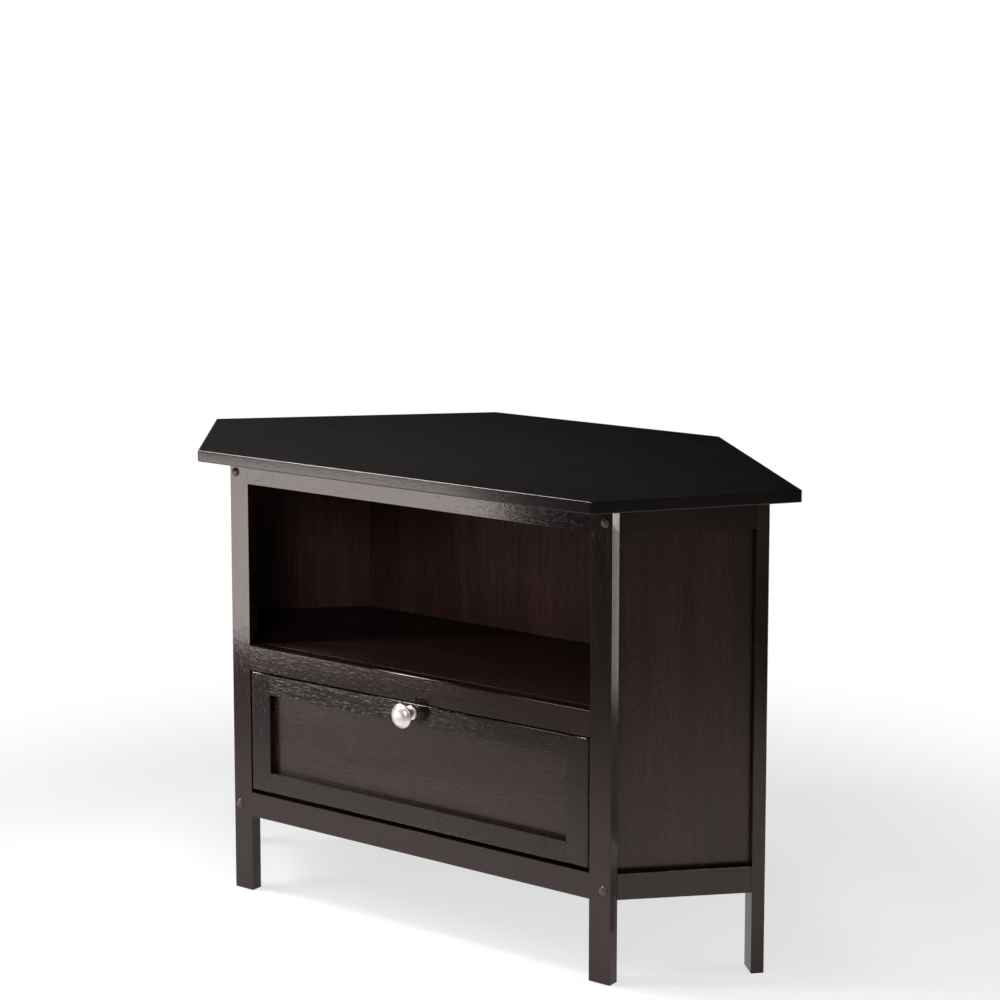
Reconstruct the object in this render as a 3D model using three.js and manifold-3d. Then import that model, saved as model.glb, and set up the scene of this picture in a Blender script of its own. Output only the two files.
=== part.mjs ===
// Corner media cabinet: a slant-sided body on six legs, an open compartment and a drop-front door.
// Millimetres, +Z up, +Y back. The origin lies on the floor, under the middle of the top.
import * as THREE from "three";
import { mergeVertices } from "three/addons/utils/BufferGeometryUtils.js";
import Module from "manifold-3d";

const wasm = await Module();
wasm.setup();

// Whole cabinet
const height = 550;
const topThickness = 14;
const frontOverhang = 50;
const frontLip = 6;
const sideOverhang = 34;
const wallOverhang = 31;
const rearOverhang = 31;

// Body seen from above: the front is straight, the sides slant out to two legs, and the
// wall frames run from there, square to the sides, to two rear legs
const bodyWidth = 550;
const bodyDepth = 369;
const sideLength = 167;
const sideAngle = Math.PI / 4;
const stock = 15;
const legWidth = 28;
const compartmentDepth = 231;

// Rails, from the floor up
const legClearance = 94;
const lowerRailHeight = 30;
const shelfHeight = 308;
const middleRailHeight = 31;
const upperRailHeight = 31;

// Boards and panels
const panelThickness = 5;
const panelTongue = 8;
const backThickness = 10;
const backDrop = 10;
const shelfThickness = 12;
const floorThickness = 12;
const cableSlotInset = 82;
const cableSlotWidth = 70;
const cableSlotHeight = 28;
const cableSlotCorner = 12;

// Cleats and corner blocks
const cleatSize = 18;
const cleatInset = 20;
const blockReach = 28;
const blockDepth = 20;
const blockHeight = 22;

// Screws: one shape in three lengths, and the bores round them
const screwRadius = 2;
const screwHeadRadius = 4;
const screwHeadHeight = 2.4;
const frameScrewLength = 34;
const frameScrewInset = 9;
const frameScrewRise = 13;
const counterboreDepth = 6;
const topScrewBite = 10;

// Domed covers over the screws in the front legs
const coverRadius = 5.5;
const coverDome = 2.6;
const coverLip = 0.6;
const coverStub = 2.5;

// Drop-front door
const doorThickness = 15;
const doorSideGap = 1.7;
const doorTopGap = 1.5;
const doorStileWidth = 29;
const doorRailHeight = 25;
const doorPanelThickness = 4;
const doorPanelRecess = 9;
const doorGroove = 6;

// Door pivots: plain pins in the stiles turn in flanged bushes in the front legs
const pivotSetback = 8.5;
const pivotRise = 7;
const swingClearance = 0.5;
const pinRadius = 2.5;
const pinInDoor = 20;
const bushRadius = 4;
const bushLength = 10;
const bushFlangeRadius = 5.5;
const bushFlangeThickness = 1;

// Knob and its screw
const knobDrop = 11;
const knobProjection = 25;
const knobHeadRadius = 14.2;
const knobHeadThickness = 11;
const knobRimThickness = 2.2;
const knobBaseRadius = 8.5;
const knobBaseThickness = 2;
const knobNeckRadius = 5.4;
const knobBoreDepth = 12;

// Magnetic catch behind the door's top rail
const catchInset = 95.3;
const catchWidth = 44;
const catchHeight = 14;
const catchDepth = 14;
const magnetWidth = 20;
const magnetHeight = 8;
const magnetDepth = 9;
const catchScrewInset = 5;
const catchScrewBite = 12;
const strikeWidth = 36;
const strikeHeight = 11;
const strikeThickness = 1.5;
const strikeScrewLength = 9;

// Gap between pieces that are cut to each other, gap round the pivots, and the overrun of a
// cutting tool
const fitGap = 0.3;
const runningGap = 0.1;
const overrun = 2;
const smallFacets = 20;
const knobFacets = 40;
const flarePieces = 6;
const crownPieces = 8;

// Shares of the knob's radius, and of a screw cover's half angle from its rim to its crown
const crownShare = 0.85;
const domeShares = [1, 0.8, 0.6, 0.4, 0.2];

// Heights worked out from the sizes above
const topUnderside = height - topThickness;
const lowerRailTop = legClearance + lowerRailHeight;
const middleRailBottom = shelfHeight - middleRailHeight;
const upperRailBottom = topUnderside - upperRailHeight;
const shelfUnderside = shelfHeight - shelfThickness;
const pivotHeight = lowerRailTop + Math.hypot(pivotSetback, pivotRise) + swingClearance;
const doorBottom = pivotHeight - pivotRise;
const doorTop = middleRailBottom - doorTopGap;

// The open door's lower edge comes to rest against the front edge of the cabinet floor, which
// stays just clear of the rear corner of the door as it swings past
const stopReach = pivotRise + fitGap;
const rearCornerSweep = Math.hypot(doorThickness - pivotSetback, pivotRise) + swingClearance;
const floorTop = pivotHeight - Math.sqrt(rearCornerSweep ** 2 - stopReach ** 2);
const floorUnderside = floorTop - floorThickness;
const floorFront = pivotSetback + stopReach;

// Plan of the right half: along a side frame runs u, and square to it, inwards and back, n
const u = [Math.sin(sideAngle), Math.cos(sideAngle)];
const n = [-u[1], u[0]];
const step = ([x, y], [dx, dy], distance) => [x + dx * distance, y + dy * distance];
const meetY = ([x, y], [dx, dy], level) => [x + (dx * (level - y)) / dy, level];
const meetX = ([x, y], [dx, dy], level) => [level, y + (dy * (level - x)) / dx];
const frontHalf = bodyWidth / 2;
const openingHalf = frontHalf - legWidth;
const sideStart = [frontHalf, stock];
const onSide = (along, inwards) => step(step(sideStart, u, along), n, inwards);
const sideCorner = onSide(sideLength, 0);
const wallLength = (bodyDepth - sideCorner[1]) / n[1];
const sideInner = sideLength - stock;
const innerCorner = meetY(onSide(0, stock), u, stock);
const backFace = stock + compartmentDepth;

// The top runs past the body: a little at the ends of its front edge, more at its widest
// points, and by a steady overhang along the walls
const topWallPoint = onSide(sideLength + wallOverhang, 0);
const topOutline = [
  [frontHalf + frontLip, -frontOverhang],
  meetX(topWallPoint, n, sideCorner[0] + sideOverhang),
  meetY(topWallPoint, n, bodyDepth + rearOverhang),
];

// Places on the door
const doorHalf = openingHalf - doorSideGap;
const doorInner = doorHalf - doorStileWidth;
const doorPanelBack = doorPanelRecess + doorPanelThickness;
const knobHeight = doorTop - knobDrop;

// Places on the catch, whose magnet meets the strike plate on the door
const catchMiddleX = doorHalf - catchInset;
const catchTop = shelfUnderside - cleatSize;
const catchFront = doorThickness + strikeThickness + fitGap;
const catchMiddle = catchFront + catchDepth / 2;
const catchBottom = catchTop - catchHeight;
const magnetLow = catchTop - (catchHeight + magnetHeight) / 2;
const strikeMiddle = magnetLow + magnetHeight / 2 - (strikeHeight - magnetHeight) / 2;
const catchScrewX = catchMiddleX + catchWidth / 2 - catchScrewInset;

// Materials
function finish(color, roughness, metalness = 0) {
  return new THREE.MeshStandardMaterial({ color, roughness, metalness });
}

const topWood = finish(0x1d1816, 0.34);
const frameWood = finish(0x2f2523, 0.42);
const panelWood = finish(0x33231f, 0.45);
const doorWood = finish(0x322826, 0.42);
const innerWood = finish(0x2b1c18, 0.55);
const blockWood = finish(0x4a3b32, 0.7);
const coverPlastic = finish(0x35201d, 0.35);
const nickel = finish(0xbdb6ae, 0.32, 1);
const steel = finish(0x9a9a9c, 0.4, 1);
const catchPlastic = finish(0x3a2b25, 0.5);
const magnetBlack = finish(0x2a2a2c, 0.6, 0.4);
const nylon = finish(0xd9d5cc, 0.5);

// Closed shapes
function plank(outline, low, high) {
  const shape = new THREE.Shape(outline.map(([x, y]) => new THREE.Vector2(x, y)));
  const geometry = new THREE.ExtrudeGeometry(shape, { depth: high - low, bevelEnabled: false });
  return geometry.translate(0, 0, low);
}

function box([x0, x1], [y0, y1], [z0, z1]) {
  return plank([[x0, y0], [x1, y0], [x1, y1], [x0, y1]], z0, z1);
}

// A round body about +Y from a profile of [radius, distance] pairs
function turned(profile, facets = smallFacets) {
  return new THREE.LatheGeometry(profile.map(([r, d]) => new THREE.Vector2(r, d)), facets);
}

function rod(radius, from, to) {
  return turned([[0, from], [radius, from], [radius, to], [0, to]]);
}

const alongX = (geometry, hand = 1) => geometry.rotateZ((-hand * Math.PI) / 2);
const alongZ = (geometry) => geometry.rotateX(Math.PI / 2);
const towardsFront = (geometry) => geometry.rotateX(Math.PI);
const mirrored = (outline, hand) => outline.map(([x, y]) => [x * hand, y]);
const bothHalves = (half) => [...half, ...mirrored(half, -1).reverse()];
const handed = ([near, far], hand) => (hand > 0 ? [near, far] : [-far, -near]);

// Boolean cuts
function solid(geometry) {
  const bare = geometry.clone();
  bare.deleteAttribute("normal");
  bare.deleteAttribute("uv");
  const merged = mergeVertices(bare);
  const index = merged.index.array;
  const kept = [];
  for (let i = 0; i < index.length; i += 3) {
    const [a, b, c] = index.slice(i, i + 3);
    if (a !== b && b !== c && c !== a) kept.push(a, b, c);
  }
  const vertProperties = new Float32Array(merged.attributes.position.array);
  return new wasm.Manifold(new wasm.Mesh({ numProp: 3, vertProperties, triVerts: new Uint32Array(kept) }));
}

function cut(geometry, ...tools) {
  let body = solid(geometry);
  for (const tool of tools) body = body.subtract(solid(tool));
  return shell(body);
}

function shell(body) {
  const { vertProperties, triVerts } = body.getMesh();
  const geometry = new THREE.BufferGeometry();
  geometry.setAttribute("position", new THREE.BufferAttribute(new Float32Array(vertProperties), 3));
  geometry.setIndex(new THREE.BufferAttribute(new Uint32Array(triVerts), 1));
  const flat = geometry.toNonIndexed();
  flat.computeVertexNormals();
  return flat;
}

// The cabinet, shifted so that its origin is under the middle of the top
const cabinet = new THREE.Group();
cabinet.position.y = (frontOverhang - bodyDepth - rearOverhang) / 2;

function add(name, geometry, material) {
  const mesh = new THREE.Mesh(geometry, material);
  mesh.name = name;
  cabinet.add(mesh);
}

const hands = [["right", 1], ["left", -1]];
const levels = [
  ["upper", upperRailBottom, topUnderside, topUnderside - blockHeight],
  ["lower", legClearance, lowerRailTop, floorUnderside - blockHeight],
];

// Places of the screws, each with the height of its head
const frameScrewX = frontHalf - frameScrewInset;
const blockMiddle = [innerCorner[0] - blockReach / 2, stock + blockDepth / 2];
const topScrewPlaces = hands.map(([side, hand]) => [
  side, hand * blockMiddle[0], blockMiddle[1], topUnderside - blockHeight,
]);

// A screw with its head at the origin's far side and its point along +Y
function screw(length) {
  return turned([
    [0, -screwHeadHeight],
    [screwHeadRadius, -screwHeadHeight],
    [screwHeadRadius, 0],
    [screwRadius, 0],
    [screwRadius, length - screwRadius],
    [0, length],
  ]);
}

const screwBore = (from, to) => rod(screwRadius + fitGap, from, to);

function makeTop() {
  const bores = topScrewPlaces.map(([, x, y]) =>
    alongZ(screwBore(-overrun, topScrewBite + fitGap)).translate(x, y, topUnderside),
  );
  add("top_panel", cut(plank(bothHalves(topOutline), topUnderside, height), ...bores), topWood);
  for (const [place, x, y, z] of topScrewPlaces) {
    add(`top_screw_${place}`, alongZ(screw(topUnderside - z + topScrewBite)).translate(x, y, z), steel);
  }
}

// A piece of a wall frame, seen from above
function wallStrip(from, to, near, far) {
  return [onSide(from, near), onSide(to, near), onSide(to, far), onSide(from, far)];
}

function makeLegs() {
  for (const [side, hand] of hands) {
    const bores = levels.flatMap(([, bottom]) => [
      rod(coverRadius - coverLip, -overrun, counterboreDepth),
      screwBore(0, stock + overrun),
    ].map((tool) => tool.translate(hand * frameScrewX, 0, bottom + frameScrewRise)));
    const bushBore = alongX(rod(bushRadius + fitGap, -overrun, bushLength + fitGap), hand);
    bores.push(bushBore.translate(hand * openingHalf, pivotSetback, pivotHeight));
    const front = box(handed([openingHalf, frontHalf], hand), [0, stock], [0, topUnderside]);
    add(`front_leg_${side}`, cut(front, ...bores), frameWood);

    const places = [["side", 0, legWidth], ["rear", wallLength - legWidth, wallLength]];
    for (const [place, near, far] of places) {
      const outline = wallStrip(sideInner, sideLength, near, far);
      add(`${place}_leg_${side}`, plank(mirrored(outline, hand), 0, topUnderside), frameWood);
    }
  }
}

function makeFrontRails() {
  const rails = [
    ["upper", upperRailBottom, topUnderside],
    ["middle", middleRailBottom, shelfHeight],
    ["lower", legClearance, lowerRailTop],
  ];
  for (const [place, low, high] of rails) {
    add(`front_${place}_rail`, box([-openingHalf, openingHalf], [0, stock], [low, high]), frameWood);
  }
}

// A thin panel lies flush with the inner faces of its rails, in a rebate of each
const panelLow = lowerRailTop - panelTongue;
const panelHigh = upperRailBottom + panelTongue;
const rebate = (outline) => plank(outline, panelLow - fitGap, panelHigh + fitGap);

function makeSides() {
  const end = sideInner - fitGap;
  const panelFace = stock - panelThickness;
  const railOutline = [sideStart, onSide(end, 0), onSide(end, stock), innerCorner];
  const panelOutline = [
    meetY(onSide(0, panelFace), u, stock + fitGap),
    onSide(end, panelFace),
    onSide(end, stock),
    meetY(onSide(0, stock), u, stock + fitGap),
  ];
  const rebateOutline = [
    onSide(-stock - overrun, panelFace - fitGap),
    onSide(sideLength, panelFace - fitGap),
    onSide(sideLength, stock + overrun),
    onSide(-stock - overrun, stock + overrun),
  ];
  for (const [side, hand] of hands) {
    const pocket = rebate(mirrored(rebateOutline, hand));
    for (const [place, low, high] of levels) {
      const bore = screwBore(0, stock + stock + overrun);
      bore.translate(hand * frameScrewX, stock - overrun, low + frameScrewRise);
      const rail = plank(mirrored(railOutline, hand), low, high);
      add(`side_${place}_rail_${side}`, cut(rail, pocket, bore), frameWood);
    }
    add(`side_panel_${side}`, plank(mirrored(panelOutline, hand), panelLow, panelHigh), panelWood);
  }
}

function makeWalls() {
  const near = legWidth + fitGap;
  const far = wallLength - legWidth - fitGap;
  const rebateDepth = sideInner + panelThickness + fitGap;
  const rebateOutline = wallStrip(sideInner - overrun, rebateDepth, near - overrun, far + overrun);
  for (const [side, hand] of hands) {
    const pocket = rebate(mirrored(rebateOutline, hand));
    for (const [place, low, high] of levels) {
      const rail = plank(mirrored(wallStrip(sideInner, sideLength, near, far), hand), low, high);
      add(`wall_${place}_rail_${side}`, cut(rail, pocket), frameWood);
    }
    const panel = wallStrip(sideInner, sideInner + panelThickness, near, far);
    add(`wall_panel_${side}`, plank(mirrored(panel, hand), panelLow, panelHigh), innerWood);
  }
}

function makeRear() {
  const rearFace = bodyDepth - stock;
  const end = onSide(0, wallLength + fitGap);
  const outline = bothHalves([meetY(end, u, rearFace), meetY(end, u, bodyDepth)]);
  for (const [place, low, high] of levels) add(`rear_${place}_rail`, plank(outline, low, high), frameWood);
}

// The slot above the shelf's right end lets leads through the back board
function cableSlot() {
  const half = cableSlotWidth / 2;
  const corner = cableSlotCorner;
  const crown = shelfHeight + cableSlotHeight;
  const shape = new THREE.Shape();
  shape.moveTo(-half, shelfHeight);
  shape.lineTo(half, shelfHeight);
  shape.lineTo(half, crown - corner);
  shape.absarc(half - corner, crown - corner, corner, 0, Math.PI / 2);
  shape.lineTo(corner - half, crown);
  shape.absarc(corner - half, crown - corner, corner, Math.PI / 2, Math.PI);
  const depth = backThickness + 2 * overrun;
  const curveSegments = smallFacets / 4;
  const geometry = new THREE.ExtrudeGeometry(shape, { depth, bevelEnabled: false, curveSegments });
  const back = backFace + backThickness + overrun;
  return geometry.rotateX(Math.PI / 2).translate(openingHalf - cableSlotInset, back, 0);
}

function makeBack() {
  const end = onSide(sideInner - fitGap, 0);
  const outline = bothHalves([meetY(end, n, backFace), meetY(end, n, backFace + backThickness)]);
  const board = plank(outline, floorUnderside - backDrop, topUnderside);
  add("back_panel", cut(board, cableSlot()), innerWood);
}

// Shelf and floor share the compartment's outline behind their front edges. The shelf rests on
// a cleat along its front and one along its rear, the floor on the lower corner blocks and a cleat
function makeShelves() {
  const side = onSide(0, stock + fitGap);
  const end = sideInner - fitGap;
  const outlineFrom = (front) => bothHalves([
    meetY(side, u, front),
    onSide(end, stock + fitGap),
    meetY(onSide(end, 0), n, backFace - fitGap),
  ]);
  add("shelf", plank(outlineFrom(stock), shelfUnderside, shelfHeight), innerWood);
  add("cabinet_floor", plank(outlineFrom(floorFront), floorUnderside, floorTop), innerWood);

  const half = innerCorner[0] - blockReach - cleatInset;
  const cleat = (front, top) => box([-half, half], [front, front + cleatSize], [top - cleatSize, top]);
  const bore = alongZ(screwBore(-overrun, catchScrewBite + fitGap));
  bore.translate(catchScrewX, catchMiddle, catchTop);
  add("shelf_cleat_front", cut(cleat(stock, shelfUnderside), bore), blockWood);
  add("shelf_cleat_rear", cleat(backFace - cleatSize, shelfUnderside), blockWood);
  add("floor_cleat_rear", cleat(backFace - cleatSize, floorUnderside), blockWood);
}

// Blocks behind the front legs take the screws that hold the slanting sides and the top
function makeCornerBlocks() {
  const heel = step(innerCorner, n, fitGap);
  const toe = step(heel, u, blockReach);
  const outline = [
    [innerCorner[0] - blockReach, stock],
    meetY(heel, u, stock),
    toe,
    step(toe, n, blockDepth),
    [innerCorner[0] - blockReach, stock + blockDepth],
  ];
  for (const [side, hand] of hands) {
    for (const [place, low, , blockLow] of levels) {
      const screwHeight = low + frameScrewRise;
      const frameBore = screwBore(0, counterboreDepth + frameScrewLength + fitGap);
      const bores = [frameBore.translate(hand * frameScrewX, 0, screwHeight)];
      if (place === "upper") {
        const topBore = alongZ(screwBore(-overrun, blockHeight + overrun));
        bores.push(topBore.translate(hand * blockMiddle[0], blockMiddle[1], blockLow));
      }
      const block = plank(mirrored(outline, hand), blockLow, blockLow + blockHeight);
      add(`corner_block_${place}_${side}`, cut(block, ...bores), blockWood);
      const driven = screw(frameScrewLength).translate(hand * frameScrewX, counterboreDepth, screwHeight);
      add(`frame_screw_${place}_${side}`, driven, steel);
      const cover = towardsFront(screwCover()).translate(hand * frameScrewX, 0, screwHeight);
      add(`screw_cover_${place}_${side}`, cover, coverPlastic);
    }
  }
}

// A low dome on a stub that plugs the counterbore
function screwCover() {
  const sphere = (coverRadius ** 2 + coverDome ** 2) / (2 * coverDome);
  const reach = Math.asin(coverRadius / sphere);
  const dome = domeShares.map((share) => {
    const angle = reach * share;
    return [sphere * Math.sin(angle), sphere * Math.cos(angle) - (sphere - coverDome)];
  });
  const stubRadius = coverRadius - coverLip - fitGap;
  return turned([[0, -coverStub], [stubRadius, -coverStub], [stubRadius, 0], ...dome, [0, coverDome]]);
}

// Drop-front door
function makeDoor() {
  const low = doorBottom + doorRailHeight - doorGroove;
  const high = doorTop - doorRailHeight + doorGroove;
  const reach = doorInner + doorGroove;
  const groove = box([-reach, reach], [doorPanelRecess - fitGap, doorPanelBack + fitGap], [low, high]);
  const inside = reach - fitGap;
  const panel = box([-inside, inside], [doorPanelRecess, doorPanelBack], [low + fitGap, high - fitGap]);
  add("door_panel", panel, doorWood);

  const knobBore = screwBore(-overrun, doorThickness + overrun).translate(0, 0, knobHeight);
  const strikeBore = screwBore(-strikeScrewLength - fitGap, overrun);
  strikeBore.translate(catchMiddleX, doorThickness, strikeMiddle);
  const top = box([-doorInner, doorInner], [0, doorThickness], [doorTop - doorRailHeight, doorTop]);
  const bottomHigh = doorBottom + doorRailHeight;
  const bottom = box([-doorInner, doorInner], [0, doorThickness], [doorBottom, bottomHigh]);
  add("door_top_rail", cut(top, groove, knobBore, strikeBore), doorWood);
  add("door_bottom_rail", cut(bottom, groove), doorWood);

  for (const [side, hand] of hands) {
    const pivot = [hand * doorHalf, pivotSetback, pivotHeight];
    const stile = box(handed([doorInner, doorHalf], hand), [0, doorThickness], [doorBottom, doorTop]);
    const pinBore = pinRadius + runningGap;
    const bore = alongX(rod(pinBore, -pinInDoor - fitGap, overrun), hand).translate(...pivot);
    add(`door_stile_${side}`, cut(stile, groove, bore), doorWood);

    const pinReach = doorSideGap + bushLength - fitGap;
    const pin = alongX(rod(pinRadius, -pinInDoor, pinReach), hand);
    add(`pivot_pin_${side}`, pin.translate(...pivot), steel);
    const bush = turned([
      [pinBore, -bushFlangeThickness],
      [bushFlangeRadius, -bushFlangeThickness],
      [bushFlangeRadius, 0],
      [bushRadius, 0],
      [bushRadius, bushLength],
      [pinBore, bushLength],
      [pinBore, -bushFlangeThickness],
    ]);
    alongX(bush, hand).translate(hand * openingHalf, pivotSetback, pivotHeight);
    add(`pivot_bush_${side}`, bush, nylon);
  }
}

// Knob: a flared foot, a slim neck and a domed head, screwed on from behind
function makeKnob() {
  const headBack = knobProjection - knobHeadThickness;
  const rimFront = headBack + knobHeadThickness / 2;
  const bore = screwRadius + fitGap;
  const profile = [
    [0, knobBoreDepth],
    [bore, knobBoreDepth],
    [bore, 0],
    [knobBaseRadius, 0],
    [knobBaseRadius, knobBaseThickness],
  ];
  const flare = new THREE.QuadraticBezierCurve(
    new THREE.Vector2(knobBaseRadius, knobBaseThickness),
    new THREE.Vector2(knobNeckRadius, knobBaseThickness),
    new THREE.Vector2(knobNeckRadius, (knobBaseThickness + headBack) / 2),
  );
  const throat = new THREE.QuadraticBezierCurve(
    new THREE.Vector2(knobNeckRadius, (knobBaseThickness + headBack) / 2),
    new THREE.Vector2(knobNeckRadius, headBack),
    new THREE.Vector2(knobHeadRadius, rimFront - knobRimThickness),
  );
  const crown = new THREE.QuadraticBezierCurve(
    new THREE.Vector2(knobHeadRadius, rimFront),
    new THREE.Vector2(knobHeadRadius * crownShare, knobProjection),
    new THREE.Vector2(0, knobProjection),
  );
  for (const [curve, pieces] of [[flare, flarePieces], [throat, flarePieces]]) {
    profile.push(...curve.getPoints(pieces).slice(1).map((p) => [p.x, p.y]));
  }
  profile.push(...crown.getPoints(crownPieces).map((p) => [p.x, p.y]));
  add("door_knob", towardsFront(turned(profile, knobFacets)).translate(0, 0, knobHeight), nickel);
  const length = doorThickness + knobBoreDepth - fitGap;
  add("knob_screw", towardsFront(screw(length)).translate(0, doorThickness, knobHeight), steel);
}

// Magnetic catch: its housing hangs from the cleat behind the middle rail
function makeCatch() {
  const around = (middle, size) => [middle - size / 2, middle + size / 2];
  const magnetBack = catchFront + magnetDepth;
  const magnetTop = magnetLow + magnetHeight;
  const catchBack = catchFront + catchDepth;
  const housing = box(around(catchMiddleX, catchWidth), [catchFront, catchBack], [catchBottom, catchTop]);
  const pocket = box(
    around(catchMiddleX, magnetWidth + 2 * fitGap),
    [catchFront - overrun, magnetBack + fitGap],
    [magnetLow - fitGap, magnetTop + fitGap],
  );
  const bore = alongZ(screwBore(-overrun, catchHeight + overrun));
  bore.translate(catchScrewX, catchMiddle, catchBottom);
  add("catch_housing", cut(housing, pocket, bore), catchPlastic);
  const magnet = box(around(catchMiddleX, magnetWidth), [catchFront, magnetBack], [magnetLow, magnetTop]);
  add("catch_magnet", magnet, magnetBlack);
  const driven = alongZ(screw(catchHeight + catchScrewBite)).translate(catchScrewX, catchMiddle, catchBottom);
  add("catch_screw", driven, steel);

  const strike = box(
    around(catchMiddleX, strikeWidth),
    [doorThickness, doorThickness + strikeThickness],
    around(strikeMiddle, strikeHeight),
  );
  const sunk = turned([
    [0, -overrun],
    [screwHeadRadius / 2 + fitGap, -overrun],
    [screwHeadRadius / 2 + fitGap, strikeThickness + overrun],
    [0, strikeThickness + overrun],
  ]);
  add("strike_plate", cut(strike, sunk.translate(catchMiddleX, doorThickness, strikeMiddle)), steel);
  const rivet = turned([
    [0, -strikeScrewLength],
    [screwRadius, -strikeScrewLength],
    [screwRadius, strikeThickness],
    [0, strikeThickness],
  ]);
  add("strike_screw", rivet.translate(catchMiddleX, doorThickness, strikeMiddle), steel);
}

makeTop();
makeLegs();
makeFrontRails();
makeSides();
makeWalls();
makeRear();
makeBack();
makeShelves();
makeCornerBlocks();
makeDoor();
makeKnob();
makeCatch();

export default cabinet;
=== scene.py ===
"""The looks of a dark corner cabinet: stained boards, satin knob, screw covers, door fittings."""

import math

import bmesh
import bpy
from mathutils import Matrix, Vector


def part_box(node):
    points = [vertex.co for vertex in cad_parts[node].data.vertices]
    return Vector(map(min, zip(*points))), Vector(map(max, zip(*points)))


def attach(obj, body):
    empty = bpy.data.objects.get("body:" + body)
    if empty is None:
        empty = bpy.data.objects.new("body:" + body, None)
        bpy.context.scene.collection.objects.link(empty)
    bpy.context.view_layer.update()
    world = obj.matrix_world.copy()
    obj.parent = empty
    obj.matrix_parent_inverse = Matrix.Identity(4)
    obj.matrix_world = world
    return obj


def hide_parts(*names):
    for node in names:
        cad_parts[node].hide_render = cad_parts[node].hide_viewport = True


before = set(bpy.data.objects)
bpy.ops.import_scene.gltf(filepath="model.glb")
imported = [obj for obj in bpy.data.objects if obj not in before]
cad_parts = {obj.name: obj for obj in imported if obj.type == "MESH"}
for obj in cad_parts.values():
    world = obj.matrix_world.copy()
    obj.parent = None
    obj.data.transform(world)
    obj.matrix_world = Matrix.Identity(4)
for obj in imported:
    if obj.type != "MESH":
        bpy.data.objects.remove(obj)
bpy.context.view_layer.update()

MM = 0.001
UP = Vector((0, 0, 1))
ACROSS = Vector((1, 0, 0))
BACK = Vector((0, 1, 0))
SLANT = {"right": Vector((1, 1, 0)).normalized(), "left": Vector((-1, 1, 0)).normalized()}
ALONG_WALL = {"right": SLANT["left"], "left": SLANT["right"]}
SIDES = ("left", "right")
LEVELS = ("upper", "lower")

GOLDEN_SHARE = 0.61803
SEED_REACH = 40
WELD_GAP = 0.002 * MM
FLAT_ANGLE = math.radians(0.8)
SHARP_ANGLE = math.radians(40)
ON_PLANE = 0.1 * MM
ON_AXIS = 0.0001 * MM


def in_scene(name, data):
    """A new object, linked to the scene."""
    thing = bpy.data.objects.new(name, data)
    bpy.context.scene.collection.objects.link(thing)
    return thing


def as_mesh(name, bm):
    """A mesh from a bmesh, which is let go."""
    mesh = bpy.data.meshes.new(name)
    bm.to_mesh(mesh)
    bm.free()
    return mesh


# Nodes written as expressions

class Flow:
    """A socket's value; arithmetic on it adds the Math nodes."""

    def __init__(self, nodes, socket):
        self.nodes, self.socket = nodes, socket

    def maths(self, operation, *values):
        return self.nodes.add("ShaderNodeMath", {"operation": operation}, dict(enumerate(values)))

    def __add__(self, other):
        return self.maths("ADD", self, other)

    def __radd__(self, other):
        return self.maths("ADD", other, self)

    def __sub__(self, other):
        return self.maths("SUBTRACT", self, other)

    def __rsub__(self, other):
        return self.maths("SUBTRACT", other, self)

    def __mul__(self, other):
        return self.maths("MULTIPLY", self, other)

    def __rmul__(self, other):
        return self.maths("MULTIPLY", other, self)

    def clear(self, low, high, first=0, last=1):
        """The first value below low, the last above high, and smooth between them."""
        settings = {"interpolation_type": "SMOOTHSTEP"}
        limits = {"From Min": low, "From Max": high, "To Min": first, "To Max": last}
        return self.nodes.add("ShaderNodeMapRange", settings, {"Value": self, **limits})


class Nodes:
    """Adds nodes to one tree."""

    def __init__(self, tree):
        self.tree = tree

    def add(self, kind, settings=None, sockets=None, out=0):
        node = self.tree.nodes.new(kind)
        for key, value in (settings or {}).items():
            setattr(node, key, value)
        for key, value in (sockets or {}).items():
            self.feed(node.inputs[key], value)
        return Flow(self, node.outputs[out])

    def feed(self, socket, value):
        if isinstance(value, Flow):
            self.tree.links.new(value.socket, socket)
        elif socket.type == "RGBA" and len(value) == 3:
            socket.default_value = (*value, 1)
        else:
            socket.default_value = value

    def seen(self, backdrop):
        """1 on the camera's rays, and on mirrored and refracted ones where the backdrop is."""
        camera = self.add("ShaderNodeLightPath", out="Is Camera Ray")
        gloss = self.add("ShaderNodeLightPath", out="Is Glossy Ray")
        glass = self.add("ShaderNodeLightPath", out="Is Transmission Ray")
        return camera.maths("MAXIMUM", camera, gloss.maths("MAXIMUM", gloss, glass) * backdrop)

    def along(self, place, direction):
        settings = {"operation": "DOT_PRODUCT"}
        return self.add("ShaderNodeVectorMath", settings, {0: place, 1: direction}, "Value")

    def length(self, place):
        return self.add("ShaderNodeVectorMath", {"operation": "LENGTH"}, {0: place}, "Value")


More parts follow.
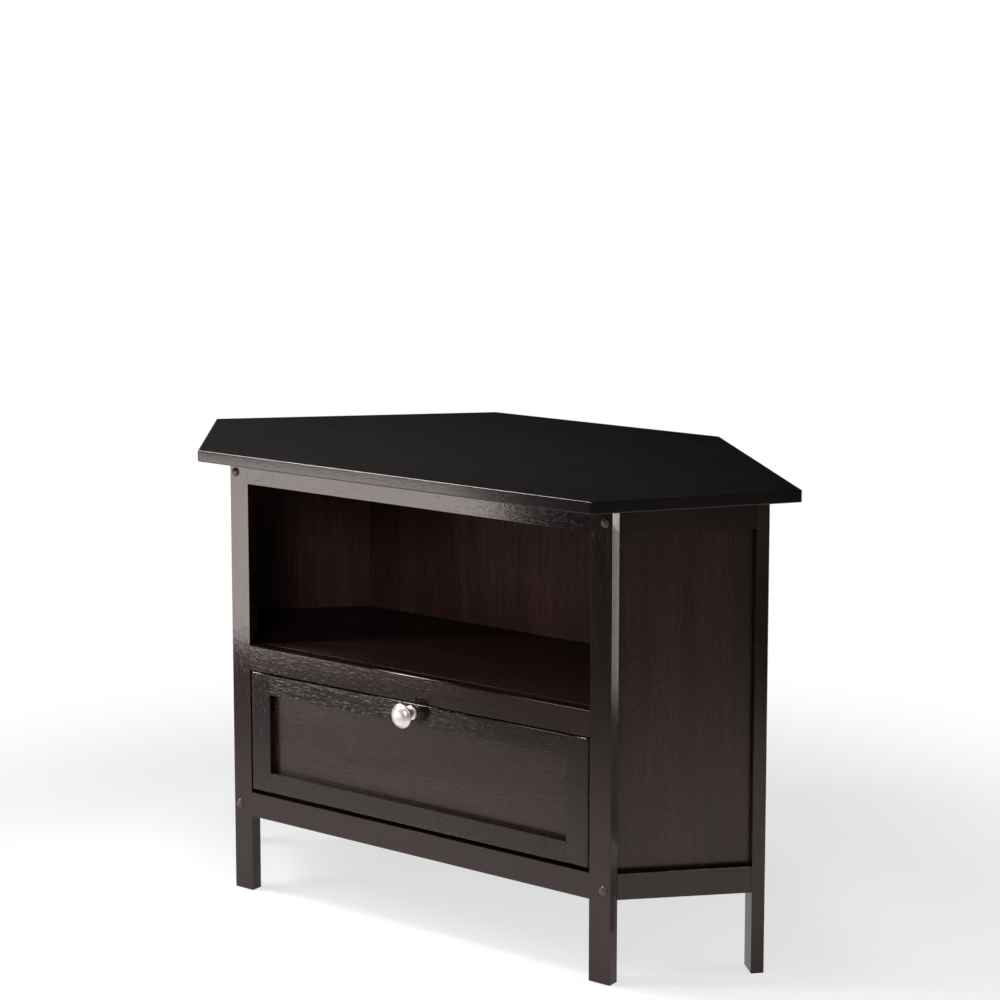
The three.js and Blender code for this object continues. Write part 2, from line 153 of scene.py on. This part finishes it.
class Finish(Nodes):
    """One material, built round a Principled shader."""

    def __init__(self, name, **fixed):
        self.material = bpy.data.materials.new(name)
        self.material.use_nodes = True
        super().__init__(self.material.node_tree)
        self.shader = self.tree.nodes["Principled BSDF"]
        for socket, value in fixed.items():
            title = socket.replace("_", " ").title().replace("Ior", "IOR")
            self.shader.inputs[title].default_value = value

    def board_seed(self):
        return self.add("ShaderNodeAttribute", {"attribute_name": "board_seed"}, out="Fac")

    def rubbed_edge(self):
        return self.add("ShaderNodeAttribute", {"attribute_name": "rubbed"}, out="Fac")

    def noise(self, stretch, detail=3, roughness=0.5, distortion=0):
        """Noise of so many waves a metre along each local axis, different on each board."""
        here = self.add("ShaderNodeTexCoord", out="Object")
        place = self.add("ShaderNodeMapping", None, {"Vector": here, "Scale": stretch})
        sockets = {
            "Vector": place, "W": self.board_seed() * SEED_REACH, "Scale": 1, "Detail": detail,
            "Roughness": roughness, "Distortion": distortion,
        }
        return self.add("ShaderNodeTexNoise", {"noise_dimensions": "4D"}, sockets, "Fac")

    def blend(self, share, first, second):
        return self.add("ShaderNodeMix", {"data_type": "RGBA"}, {0: share, 6: first, 7: second}, 2)

    def bump(self, height, depth, strength):
        sockets = {"Height": height, "Distance": depth, "Strength": strength}
        return self.add("ShaderNodeBump", None, sockets, "Normal")

    def use(self, **sockets):
        for name, value in sockets.items():
            self.feed(self.shader.inputs[name.replace("_", " ").title()], value)
        return self.material


# Finishes

GRAIN_DEPTH = 0.08 * MM
LACQUER_TINT = (1, 0.87, 0.83, 1)
RUBBED_WOOD = (0.075, 0.045, 0.032)


def stained_wood(name, dark, light, gloss, pores=1.0, streaks=1.0, gleam=0.5):
    """Stained, open-pored hardwood under a thin satin lacquer. The grain runs along local X."""
    finish = Finish(name, specular_ior_level=gleam, specular_tint=LACQUER_TINT)
    figure = finish.noise((3.2, 26, 26), detail=4, roughness=0.55, distortion=0.6)
    streak = finish.noise((9, 190, 190), detail=5, roughness=0.6)
    fibre = finish.noise((15, 800, 800), detail=3, roughness=0.6)
    cloud = finish.noise((7, 12, 12), detail=2)
    pore = finish.noise((150, 480, 480), detail=1)
    open_grain = streak.clear(0.25, 0.55)
    open_pore = pore.clear(0.52, 0.70) * open_grain
    tone = figure.clear(0.30, 0.72) * 0.36 + fibre.clear(0.3, 0.7) * 0.36
    tone = tone + streak.clear(0.28, 0.74) * (0.30 * streaks)
    colour = finish.blend(tone.clear(0.0, 1.05), dark, light)
    colour = finish.blend(cloud.clear(0.35, 0.75) * 0.30, colour, dark)
    pored = finish.blend(open_pore * (0.75 * pores), colour, tuple(0.35 * c for c in dark))
    patch = finish.noise((150, 260, 260), detail=3, roughness=0.65)
    wear = finish.rubbed_edge() * patch.clear(0.46, 0.70)
    painted = finish.blend(wear * 0.20, pored, RUBBED_WOOD)
    roughness = gloss + open_pore * (0.24 * pores) + fibre * 0.03 + cloud * 0.03 - wear * 0.03
    height = fibre * 0.20 + streak * 0.10 - (pore - 0.5) * open_grain * (4.6 * pores)
    grain = finish.bump(height, GRAIN_DEPTH, 0.8)
    return finish.use(Base_Color=painted, Roughness=roughness, Normal=grain)


def bare_wood(name):
    """Sawn softwood, unstained: blocks and cleats."""
    finish = Finish(name, specular_ior_level=0.3)
    figure = finish.noise((5, 55, 55), detail=3, distortion=0.8)
    fibre = finish.noise((40, 700, 700), detail=4, roughness=0.7)
    saw = finish.noise((420, 12, 12), detail=2)
    colour = finish.blend(figure.clear(0.38, 0.62), (0.27, 0.165, 0.085), (0.42, 0.30, 0.18))
    colour = finish.blend(fibre.clear(0.5, 0.8) * 0.35, colour, (0.16, 0.09, 0.045))
    sawn = finish.bump(fibre * 0.5 + saw * 0.6, 0.3 * MM, 0.8)
    return finish.use(Base_Color=colour, Roughness=0.62 + fibre * 0.2, Normal=sawn)


def moulded(name, colour, roughness, mottle=0.12):
    """Moulded plastic with a fine skin."""
    finish = Finish(name)
    skin = finish.noise((900, 900, 900), detail=3)
    cloud = finish.noise((90, 90, 90), detail=2)
    pale = tuple(min(1, c * (1 + 2 * mottle) + 0.01) for c in colour)
    shade = finish.blend(cloud.clear(0.3, 0.7), colour, pale)
    wear = finish.rubbed_edge() * cloud.clear(0.45, 0.65)
    shade = finish.blend(wear * 0.4, shade, tuple(min(1, c * 1.6 + 0.02) for c in colour))
    moulded_skin = finish.bump(skin, 0.05 * MM, 0.5)
    return finish.use(Base_Color=shade, Roughness=roughness + skin * 0.12, Normal=moulded_skin)


def satin_metal(name, colour, roughness, lines=(60, 60, 4200)):
    """Metal with fine turning marks across local Z, and a soft cloud of handling."""
    finish = Finish(name, metallic=1.0)
    brushed = finish.noise(lines, detail=3, roughness=0.6)
    cloud = finish.noise((70, 70, 70), detail=3)
    dull = tuple(c * 0.78 for c in colour)
    shade = finish.blend(cloud.clear(0.35, 0.8) * 0.6, colour, dull)
    rough = roughness + brushed * 0.10 + cloud.clear(0.4, 0.8) * 0.10
    turned = finish.bump(brushed, 0.02 * MM, 0.6)
    return finish.use(Base_Color=shade, Roughness=rough, Normal=turned)


TOP_WOOD = stained_wood(
    "top_wood", (0.0026, 0.0022, 0.0021), (0.0082, 0.0068, 0.0062), 0.14,
    pores=0.3, streaks=0.6, gleam=0.4,
)
FRAME_WOOD = stained_wood(
    "frame_wood", (0.0042, 0.0019, 0.0015), (0.0175, 0.0070, 0.0056), 0.09,
    pores=0.4,
)
PANEL_WOOD = stained_wood(
    "panel_wood", (0.0070, 0.0036, 0.0031), (0.033, 0.0136, 0.0115), 0.22,
    pores=0.1,
)
DOOR_WOOD = stained_wood(
    "door_wood", (0.0028, 0.0018, 0.0016), (0.0110, 0.0070, 0.0062), 0.09,
)
DOOR_PANEL_WOOD = stained_wood(
    "door_panel_wood", (0.0105, 0.0046, 0.0039), (0.034, 0.0150, 0.0125), 0.24,
    pores=0.08, streaks=0.6,
)
INNER_WOOD = stained_wood(
    "inner_wood", (0.026, 0.0118, 0.0096), (0.082, 0.0375, 0.0312), 0.55,
    pores=0.4, gleam=0.12,
)
# Painted shade: the inner wood's colours darkened to about two fifths, for the shelf and the
# cabinet floor, whose upper faces the lamps light more than the inner walls
SHELF_WOOD_WITH_PAINTED_SHADE = stained_wood(
    "shelf_wood_painted_shade", (0.010, 0.0048, 0.0040), (0.032, 0.0150, 0.0125), 0.45,
    pores=0.4, gleam=0.2,
)
BARE_WOOD = bare_wood("bare_wood")
COVER_PLASTIC = moulded("cover_plastic", (0.050, 0.0205, 0.0165), 0.22)
CATCH_PLASTIC = moulded("catch_plastic", (0.050, 0.030, 0.022), 0.42)
NYLON = moulded("nylon", (0.62, 0.60, 0.54), 0.42, mottle=0.03)
FERRITE = moulded("ferrite", (0.035, 0.035, 0.038), 0.5)
NICKEL = satin_metal("satin_nickel", (0.80, 0.725, 0.69), 0.34)
ZINC = satin_metal("zinc_plate", (0.58, 0.575, 0.55), 0.30, lines=(900, 900, 900))


# Pieces worked from the CAD boards

board_count = 0


def next_seed():
    """A steady share between 0 and 1 for each piece, far from the last one's."""
    global board_count
    board_count += 1
    return (board_count * GOLDEN_SHARE) % 1


def local_frame(centre, grain, face):
    """A matrix whose X runs along the grain and whose Z looks out of the face."""
    x = grain.normalized()
    z = (face - face.dot(x) * x).normalized()
    rotation = Matrix((x, z.cross(x), z)).transposed().to_4x4()
    return Matrix.Translation(centre) @ rotation


def new_shape():
    """An empty bmesh with the layers that the finishes read."""
    bm = bmesh.new()
    bm.faces.layers.float.new("rubbed")
    bm.verts.layers.float.new("board_seed")
    return bm


def clean(source):
    """A node's solid with flat faces instead of triangles."""
    bm = new_shape()
    bm.from_mesh(source.data)
    bmesh.ops.remove_doubles(bm, verts=bm.verts, dist=WELD_GAP)
    bmesh.ops.dissolve_limit(bm, angle_limit=FLAT_ANGLE, verts=bm.verts, edges=bm.edges)
    return bm


def seed_board(bm):
    seed = next_seed()
    board = bm.verts.layers.float["board_seed"]
    for vertex in bm.verts:
        vertex[board] = seed


def finish_piece(name, bm, matrix, material, body, nodes):
    """Turns a bmesh into a piece that rides on its body and stands for its CAD nodes."""
    seed_board(bm)
    mesh = as_mesh(name, bm)
    for polygon in mesh.polygons:
        polygon.use_smooth = True
    piece = in_scene(name, mesh)
    piece.matrix_world = matrix
    mesh.materials.append(material)
    normals = piece.modifiers.new("even_faces", "WEIGHTED_NORMAL")
    normals.mode = "FACE_AREA"
    normals.weight = 90
    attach(piece, body)
    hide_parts(*nodes)


def ease(bm, arrises, radius, steps, rubbed_share):
    """Rounds arrises and marks the new faces as rubbed."""
    eased = bmesh.ops.bevel(
        bm, geom=arrises, offset=radius, segments=steps, profile=0.5, affect="EDGES",
        clamp_overlap=True,
    )
    rubbed = bm.faces.layers.float["rubbed"]
    for face in eased["faces"]:
        face[rubbed] = rubbed_share


def sharp(edge, shortest):
    bent = edge.is_manifold and edge.calc_face_angle() > SHARP_ANGLE
    return bent and edge.calc_length() > shortest


def lies_on(edge, planes):
    """Whether an edge's middle lies on one of the planes, each a direction and a distance."""
    middle = (edge.verts[0].co + edge.verts[1].co) / 2
    return any(abs(middle.dot(direction) - distance) < ON_PLANE for direction, distance in planes)


def worked(node, grain, face, material, body="cabinet", free=None, round_over=1.0 * MM,
           tight=0.25 * MM, butted=False, shortest=3 * MM):
    """A piece cut as its CAD node, its grain along the board.

    Arrises on the free planes are rounded over and the rest are only broken. Without a list of
    free planes all are rounded over. Butted ends meet another board and stay square.
    """
    bm = clean(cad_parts[node])
    low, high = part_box(node)
    matrix = local_frame((low + high) / 2, grain, face)
    to_local = matrix.inverted()
    ends = [(to_local @ vertex.co).x for vertex in bm.verts]
    first, last = min(ends), max(ends)

    def at_butted_end(edge):
        here = [(to_local @ vertex.co).x for vertex in edge.verts]
        return butted and any(max(abs(x - end) for x in here) < ON_PLANE for end in (first, last))

    def arrises():
        return [edge for edge in bm.edges if sharp(edge, shortest) and not at_butted_end(edge)]

    outer = [edge for edge in arrises() if free is None or lies_on(edge, free)]
    ease(bm, outer, round_over, steps=4, rubbed_share=1.0)
    if free is not None:
        ease(bm, arrises(), tight, steps=2, rubbed_share=0.6)
    bmesh.ops.transform(bm, matrix=to_local, verts=bm.verts)
    finish_piece(f"{node}_worked", bm, matrix, material, body, [node])


def planes_round(node, *directions):
    """The outer planes of a node's solid in some directions."""
    points = [vertex.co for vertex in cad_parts[node].data.vertices]
    return [(direction, max(direction.dot(point) for point in points)) for direction in directions]


def front_boards():
    free = planes_round("front_leg_right", ACROSS, -UP) + planes_round("front_leg_left", -ACROSS)
    for side in SIDES:
        worked(f"front_leg_{side}", UP, -BACK, FRAME_WOOD, free=free)
    shelf_edge = planes_round("front_middle_rail", UP)
    for place in ("upper", "middle", "lower"):
        worked(f"front_{place}_rail", ACROSS, -BACK, FRAME_WOOD, free=shelf_edge,
               tight=0.4 * MM, round_over=2.2 * MM, butted=True)


def frame_rail(node, grain, face):
    worked(node, grain, face, FRAME_WOOD, free=[], butted=True)


def slanting_boards():
    for side in SIDES:
        slant, wall = SLANT[side], ALONG_WALL[side]
        free = planes_round(f"side_leg_{side}", slant, -UP)
        worked(f"side_leg_{side}", UP, slant, FRAME_WOOD, free=free)
        worked(f"rear_leg_{side}", UP, slant, FRAME_WOOD, free=free)
        worked(f"side_panel_{side}", UP, -wall, PANEL_WOOD, free=[], tight=0.3 * MM)
        worked(f"wall_panel_{side}", UP, slant, INNER_WOOD, free=[], tight=0.3 * MM)
        for level in LEVELS:
            frame_rail(f"side_{level}_rail_{side}", slant, -wall)
            frame_rail(f"wall_{level}_rail_{side}", wall, slant)
    for level in LEVELS:
        frame_rail(f"rear_{level}_rail", ACROSS, BACK)


def inner_boards():
    worked("back_panel", UP, -BACK, INNER_WOOD, round_over=0.5 * MM)
    # The shelf and the cabinet floor take the darkened copy of the inner wood, a painted shade
    worked("shelf", ACROSS, UP, SHELF_WOOD_WITH_PAINTED_SHADE, round_over=0.6 * MM)
    worked("cabinet_floor", ACROSS, UP, SHELF_WOOD_WITH_PAINTED_SHADE, round_over=0.6 * MM)
    for cleat in ("shelf_cleat_front", "shelf_cleat_rear", "floor_cleat_rear"):
        worked(cleat, ACROSS, BACK, BARE_WOOD, round_over=0.8 * MM)
    for side in SIDES:
        for level in LEVELS:
            block = f"corner_block_{level}_{side}"
            worked(block, SLANT[side], UP, BARE_WOOD, round_over=0.8 * MM)


def door_boards():
    free = planes_round("door_stile_right", ACROSS, UP, -UP)
    free += planes_round("door_stile_left", -ACROSS)
    worked("door_panel", ACROSS, -BACK, DOOR_PANEL_WOOD, "door", free=[], butted=True)
    for place in ("top", "bottom"):
        worked(f"door_{place}_rail", ACROSS, -BACK, DOOR_WOOD, "door", free=free,
               round_over=1.8 * MM, butted=True)
    for side in SIDES:
        worked(f"door_stile_{side}", UP, -BACK, DOOR_WOOD, "door", free=free,
               round_over=1.8 * MM)


def fittings():
    for side in SIDES:
        worked(f"pivot_bush_{side}", ACROSS, UP, NYLON,
               round_over=0.2 * MM, shortest=0.3 * MM)
        worked(f"pivot_pin_{side}", ACROSS, UP, ZINC, "door",
               round_over=0.3 * MM, shortest=0.3 * MM)
    worked("catch_housing", ACROSS, UP, CATCH_PLASTIC, round_over=0.8 * MM)
    worked("catch_magnet", ACROSS, UP, FERRITE, round_over=0.3 * MM)
    worked("strike_plate", ACROSS, BACK, ZINC, "door", round_over=0.3 * MM)
    worked("strike_screw", BACK, UP, ZINC, "door",
           round_over=0.3 * MM, shortest=0.3 * MM)


# Turned pieces

def ring(bm, radius, distance, turns):
    """A loop of vertices about local Z, or one vertex on the axis."""
    if radius < ON_AXIS:
        return [bm.verts.new((0, 0, distance))]
    angles = [2 * math.pi * i / turns for i in range(turns)]
    points = [(radius * math.cos(a), radius * math.sin(a), distance) for a in angles]
    return [bm.verts.new(point) for point in points]


def skin(bm, rings, turns, crease):
    """Closes a round body from its rings, and keeps edges sharper than the crease."""
    for lower, upper in zip(rings, rings[1:]):
        for i in range(turns):
            j = (i + 1) % turns
            below = [lower[i % len(lower)], lower[j % len(lower)]]
            above = [upper[j % len(upper)], upper[i % len(upper)]]
            corners = list(dict.fromkeys(below + above))
            if len(corners) > 2:
                bm.faces.new(corners)
    bmesh.ops.recalc_face_normals(bm, faces=bm.faces)
    for edge in bm.edges:
        edge.smooth = not (edge.is_manifold and edge.calc_face_angle() > math.radians(crease))


def turned_matrix(centre, axis):
    return Matrix.Translation(centre) @ axis.to_track_quat("Z", "Y").to_matrix().to_4x4()


def lathe(name, profile, centre, axis, material, body, nodes, turns=64):
    """A round piece about its local Z, from pairs of radius and distance along the axis."""
    bm = new_shape()
    rings = [ring(bm, radius, distance, turns) for radius, distance in profile]
    skin(bm, rings, turns, crease=35)
    finish_piece(name, bm, turned_matrix(centre, axis), material, body, nodes)


def arc(centre, radius, start, end, steps):
    """Points of a circle in the profile's plane, between two angles in degrees."""
    turn = [math.radians(start + (end - start) * i / steps) for i in range(steps + 1)]
    return [(centre[0] + radius * math.cos(a), centre[1] + radius * math.sin(a)) for a in turn]


def bezier(points, steps):
    """A quadratic curve through a profile's plane."""
    curve = []
    for i in range(steps + 1):
        t = i / steps
        weights = ((1 - t) ** 2, 2 * t * (1 - t), t * t)
        curve.append(tuple(sum(w * point[k] for w, point in zip(weights, points)) for k in (0, 1)))
    return curve


def door_knob():
    low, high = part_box("door_knob")
    head, depth = (high.x - low.x) / 2, high.y - low.y
    foot, foot_depth, foot_lip = 8.5 * MM, 2 * MM, 0.5 * MM
    neck, neck_start, neck_end = 5.4 * MM, depth * 0.3, depth * 0.34
    back, rim, lip = depth * 0.56, depth * 0.78, 1.1 * MM
    flare = (foot - 1.6 * MM, foot_depth)
    under_lip = (head - lip, rim - 1.9 * MM)
    over_lip = (head - lip * 1.1, rim + lip * 0.75)
    profile = [(0, 0), (foot - foot_lip, 0)]
    profile += arc((foot - foot_lip, foot_lip), foot_lip, -90, 0, 5)
    profile += arc((foot - foot_lip, foot_depth - foot_lip), foot_lip, 0, 90, 5)
    profile += bezier([flare, (neck, foot_depth * 1.1), (neck, neck_start)], 10)
    profile += bezier([(neck, neck_end), (neck, back), under_lip], 14)
    profile += arc((head - lip, rim - lip * 0.6), lip, -60, 45, 8)
    profile += bezier([over_lip, (head * 0.72, depth), (0, depth)], 16)
    centre = Vector(((low.x + high.x) / 2, high.y, (low.z + high.z) / 2))
    lathe("door_knob_turned", profile, centre, -BACK, NICKEL, "door", ["door_knob"],
          turns=96)


def screw_covers():
    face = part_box("front_upper_rail")[0].y
    for side in SIDES:
        for level in LEVELS:
            node = f"screw_cover_{level}_{side}"
            low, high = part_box(node)
            radius, dome, stub = (high.x - low.x) / 2, face - low.y, high.y - face
            edge = 0.35 * MM
            plug = radius * 0.8
            profile = [(0, -stub), (plug, -stub), (plug, 0), (radius - edge, 0)]
            profile += arc((radius - edge, edge), edge, -90, 20, 6)
            profile += bezier([(radius - edge, edge * 1.9), (radius * 0.62, dome), (0, dome)], 14)
            centre = Vector(((low.x + high.x) / 2, face, (low.z + high.z) / 2))
            lathe(f"{node}_domed", profile, centre, -BACK, COVER_PLASTIC,
                  "cabinet", [node])


def screw(node, axis, body="cabinet"):
    """A pan-head screw with a cross recess, its point along the axis."""
    head, shank, pitch, ridge, tip = 2.4 * MM, 2 * MM, 1.4 * MM, 0.28 * MM, 0.15 * MM
    slope, recess = 0.45 * head, 0.55 * head
    low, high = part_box(node)
    spread = sorted((high - low).to_tuple())
    radius, length = spread[0] / 2, spread[2] - head
    seat = (low + high) / 2 - axis * (spread[2] / 2 - head)
    arm_width, arm_reach = 0.13 * radius, 0.62 * radius
    recess_middle, recess_end = 0.35 * radius, 0.68 * radius
    turns, rings = 48, 10
    bm = new_shape()

    crown = [ring(bm, 0, recess - head, turns)]
    for i in range(1, rings + 1):
        r = radius * i / rings
        crown.append(ring(bm, r, slope * (r / radius) ** 3 - head, turns))
    for vertex in (vertex for loop in crown[1:-1] for vertex in loop):
        r = math.hypot(vertex.co.x, vertex.co.y)
        half_arm = arm_width + 0.25 * max(0, recess_middle - r)
        if min(abs(vertex.co.x), abs(vertex.co.y)) < half_arm and r < arm_reach:
            vertex.co.z += recess * (1 - r / recess_end)

    thread = []
    blunt, point_length = 0.1, 3 * shank
    steps = max(8, int(length / (pitch / 4)))
    for i in range(1, steps):
        distance = length * i / steps
        taper = blunt + (1 - blunt) * min(1, (length - distance) / point_length)
        loop = ring(bm, 1, distance, turns)
        for k, vertex in enumerate(loop):
            wave = 0.5 + 0.5 * math.cos(2 * math.pi * (distance / pitch - k / turns))
            r = max(tip, (shank - ridge * (1 - wave ** 3)) * taper)
            vertex.co.x, vertex.co.y = vertex.co.x * r, vertex.co.y * r
        thread.append(loop)

    under_head = [ring(bm, radius, -0.02 * MM, turns), ring(bm, shank, 0, turns)]
    skin(bm, [*crown, *under_head, *thread, ring(bm, 0, length, turns)], turns, crease=40)
    finish_piece(f"{node}_threaded", bm, turned_matrix(seat, axis), ZINC, body, [node])


def screws():
    for side in SIDES:
        screw(f"top_screw_{side}", UP)
        for level in LEVELS:
            screw(f"frame_screw_{level}_{side}", BACK)
    screw("catch_screw", UP)
    screw("knob_screw", -BACK, "door")


worked("top_panel", ACROSS, UP, TOP_WOOD, round_over=1.6 * MM)
front_boards()
slanting_boards()
inner_boards()
door_boards()
fittings()
door_knob()
screw_covers()
screws()


# Studio. The backdrop stands behind the cabinet, and the front of the room is dim

BEHIND = Vector((-0.585, 0.811, 0))
LEFT = UP.cross(BEHIND)
AMBIENT = 0.135

# Each lamp's place and aim, its size in metres, its power in watts and its spread in degrees
LAMPS = {
    "low_left_light": ((-0.82, -0.965, 0.24), (-0.39, -0.065, 0.86), (0.62, 0.36), 2.1, 110),
    "overhead_light": ((0, -0.3, 2.2), (0, -0.3, 0), (0.6, 0.6), 2.6, 40),
    "left_floor_light": ((-0.75, -0.6, 2.2), (-0.75, -0.6, 0), (0.6, 0.6), 1.4, 40),
    "rim_light": ((1.12, 0.56, 0.27), (0.28, -0.15, 0.3), (0.45, 0.5), 1.4, 60),
    "fill_light": ((1.2, -3.0, 1.5), (0, 0, 0.35), (1.2, 1.2), 3.6, 60),
    "right_floor_light": ((1.05, -0.42, 1.0), (1.05, -0.42, 0), (0.4, 0.4), 1.0, 60),
    "far_floor_light": ((2.7, -1.5, 1.2), (2.7, -1.5, 0), (0.4, 0.4), 0.8, 80),
    "upper_left_light": ((-1.3, -1.25, 1.7), (0, -0.16, 0.4), (0.2, 1.3), 2.0, 40),
    "high_left_light": ((-1.05, -0.5, 1.7), (0, -0.17, 0.3), (0.35, 1.3), 1.8, 30),
}


def studio_floor():
    """A wide round floor, pale near the cabinet and blending into the air far away."""
    reach, rings, turns = 14.0, 24, 96
    bm = new_shape()
    circles = [ring(bm, reach * (i / rings) ** 2, 0, turns) for i in range(rings + 1)]
    skin(bm, circles, turns, crease=35)
    for face in bm.faces:
        if face.normal.z < 0:
            face.normal_flip()
    mesh = as_mesh("studio_floor", bm)
    floor = in_scene("studio_floor", mesh)

    finish = Finish("floor_paint")
    cloud = finish.noise((1.5, 1.5, 1.5), detail=3)
    grit = finish.noise((300, 300, 300), detail=3)
    shade = finish.blend(cloud.clear(0.3, 0.7), (0.80, 0.797, 0.79), (0.83, 0.827, 0.82))
    gritty = finish.bump(grit, 0.3 * MM, 0.3)
    finish.use(Base_Color=shade, Roughness=0.75 + grit * 0.1, Normal=gritty)
    here = finish.add("ShaderNodeTexCoord", out="Object")
    far_share = finish.length(here).clear(0.4, 1.15, first=0.68, last=1.0)
    placing = {"Vector": here, "Location": (-0.1, 0, 0), "Scale": (0.7, 1.15, 0)}
    oval = finish.add("ShaderNodeMapping", None, placing)
    near = finish.length(oval).clear(0.55, 0.95, first=0.82, last=0)
    backdrop = near.maths("MAXIMUM", near, finish.along(here, BEHIND).clear(-0.3, 0.6))
    white = finish.add("ShaderNodeEmission", None, {"Color": (1, 1, 1), "Strength": 1})
    painted = Flow(finish, finish.shader.outputs[0])
    shown = finish.seen(backdrop) * far_share
    surface = finish.add("ShaderNodeMixShader", None, {0: shown, 1: painted, 2: white})
    finish.feed(finish.tree.nodes["Material Output"].inputs["Surface"], surface)
    mesh.materials.append(finish.material)


def softbox(name, place, aim, size, power, spread):
    data = bpy.data.lights.new(name, "AREA")
    data.shape = "RECTANGLE"
    data.size, data.size_y = size
    data.energy = power
    data.spread = math.radians(spread)
    lamp = in_scene(name, data)
    lamp.visible_camera = False
    lamp.location = place
    lamp.rotation_mode = "QUATERNION"
    lamp.rotation_quaternion = (Vector(aim) - Vector(place)).to_track_quat("-Z", "Y")


def studio_light():
    for name, lamp in LAMPS.items():
        softbox(name, *lamp)


def studio_air():
    """White where the backdrop is seen, and dim where it only lights."""
    world = bpy.data.worlds.new("studio_air")
    bpy.context.scene.world = world
    world.use_nodes = True
    air = Nodes(world.node_tree)
    direction = air.add("ShaderNodeTexCoord", out="Generated")
    low = air.along(direction, UP).clear(0.0, 0.03, first=1, last=0)
    backdrop = air.along(direction, BEHIND).clear(0.0, 0.5) * low
    gloss = air.add("ShaderNodeLightPath", out="Is Glossy Ray")
    dark_room = air.along(direction, LEFT).clear(-0.15, 0.2, first=0.004, last=0.05)
    dim = AMBIENT - gloss * (AMBIENT - dark_room)
    sky = world.node_tree.nodes["Background"]
    air.feed(sky.inputs["Color"], (1, 1, 1))
    air.feed(sky.inputs["Strength"], dim.maths("MAXIMUM", dim, air.seen(backdrop)))


def camera():
    """The photograph's view: tilted in part and shifted, so that verticals stay nearly parallel."""
    data = bpy.data.cameras.new("camera")
    data.sensor_width = 36
    data.lens = 87.93
    data.shift_y = -0.15
    eye = in_scene("camera", data)
    eye.location = (1.6871, -2.3354, 1.0344)
    turn, tilt = math.radians(35.85), math.radians(7.257)
    eye.rotation_euler = (math.pi / 2 - tilt, 0, turn)
    bpy.context.scene.camera = eye


studio_floor()
studio_light()
studio_air()
camera()
bpy.context.scene.view_settings.view_transform = "Standard"
